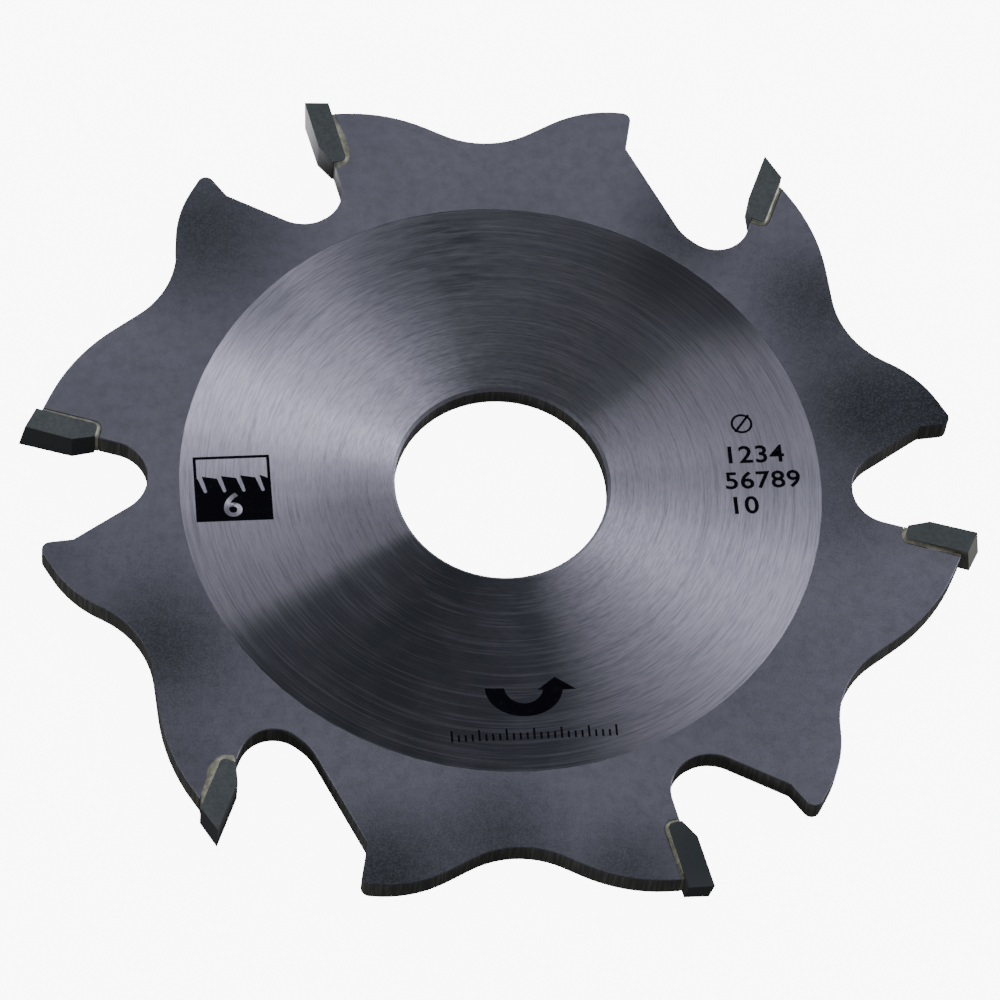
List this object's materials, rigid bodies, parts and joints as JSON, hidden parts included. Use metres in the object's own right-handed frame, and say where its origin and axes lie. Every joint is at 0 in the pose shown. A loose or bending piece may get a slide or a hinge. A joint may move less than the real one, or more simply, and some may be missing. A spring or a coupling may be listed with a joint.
{
  "type": "biscuit joiner blade",
  "caption": "Carbide-tipped circular slot cutter with deep gullets, chip-limiting noses, alternating scoring and raker teeth and a plain arbor bore.",
  "frame": {"origin": "on the arbor axis, in the middle of the plate's thickness", "axes": "+Z along the arbor axis, out of the face from which the blade turns counter-clockwise; +X through the cutting corner of the first tip"},
  "size_m": [0.1, 0.094, 0.004],
  "materials": {
    "blade_steel": "ground steel, fine rings round the bore and a matte blue-grey outer plate",
    "carbide": "finely ground dark grey carbide",
    "braze": "dull khaki-grey braze"
  },
  "bodies": {
    "root": {"blade_body": "blade_steel", "carbide_tip_1": "carbide", "carbide_tip_2": "carbide", "carbide_tip_3": "carbide", "carbide_tip_4": "carbide", "carbide_tip_5": "carbide", "carbide_tip_6": "carbide", "braze_layer_1": "braze", "braze_layer_2": "braze", "braze_layer_3": "braze", "braze_layer_4": "braze", "braze_layer_5": "braze", "braze_layer_6": "braze"}
  },
  "joints": []
}
